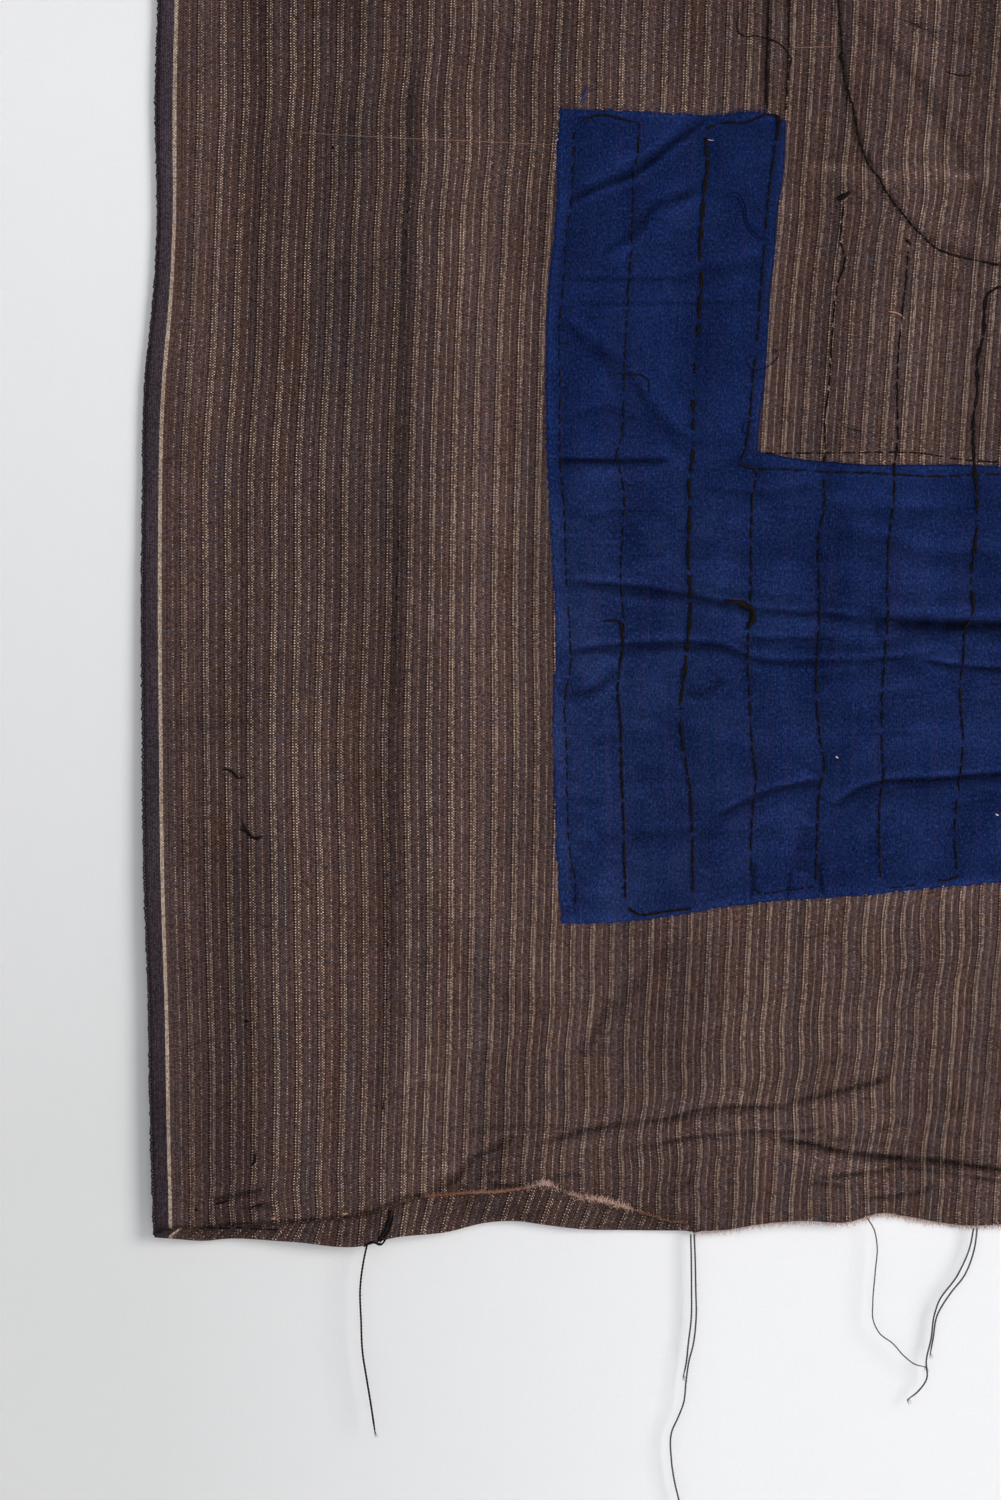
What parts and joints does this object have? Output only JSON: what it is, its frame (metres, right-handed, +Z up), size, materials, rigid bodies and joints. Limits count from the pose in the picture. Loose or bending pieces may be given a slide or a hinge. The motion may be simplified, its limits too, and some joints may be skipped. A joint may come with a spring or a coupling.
{
  "type": "boro patched cloth",
  "caption": "Hanging striped cotton cloth with a stitched L-shaped indigo patch, a turned-up hem and loose thread tails.",
  "frame": {"origin": "the middle of the cloth's top edge, where it is held up", "axes": "+Z up along the cloth's length, the front with the patch faces -Y, +X to the viewer's right"},
  "size_m": [0.3413, 0.0094, 0.6951],
  "materials": {
    "striped_cotton": "worn plain weave, brown with pale warp stripes and charcoal selvedges",
    "indigo_cotton": "worn plain weave, indigo, wrinkled between rows of stitches",
    "black_thread": "twisted cotton sewing thread",
    "grey_thread": "faded twisted cotton sewing thread"
  },
  "bodies": {
    "root": {"striped_cloth": "striped_cotton", "indigo_patch": "indigo_cotton", "thread_tail_left": "black_thread", "thread_tail_middle_right_ply": "grey_thread", "thread_tail_middle_left_ply": "grey_thread", "thread_tail_thin": "grey_thread", "thread_tail_right_long_ply": "grey_thread", "thread_tail_right_short_ply": "grey_thread"}
  },
  "joints": []
}
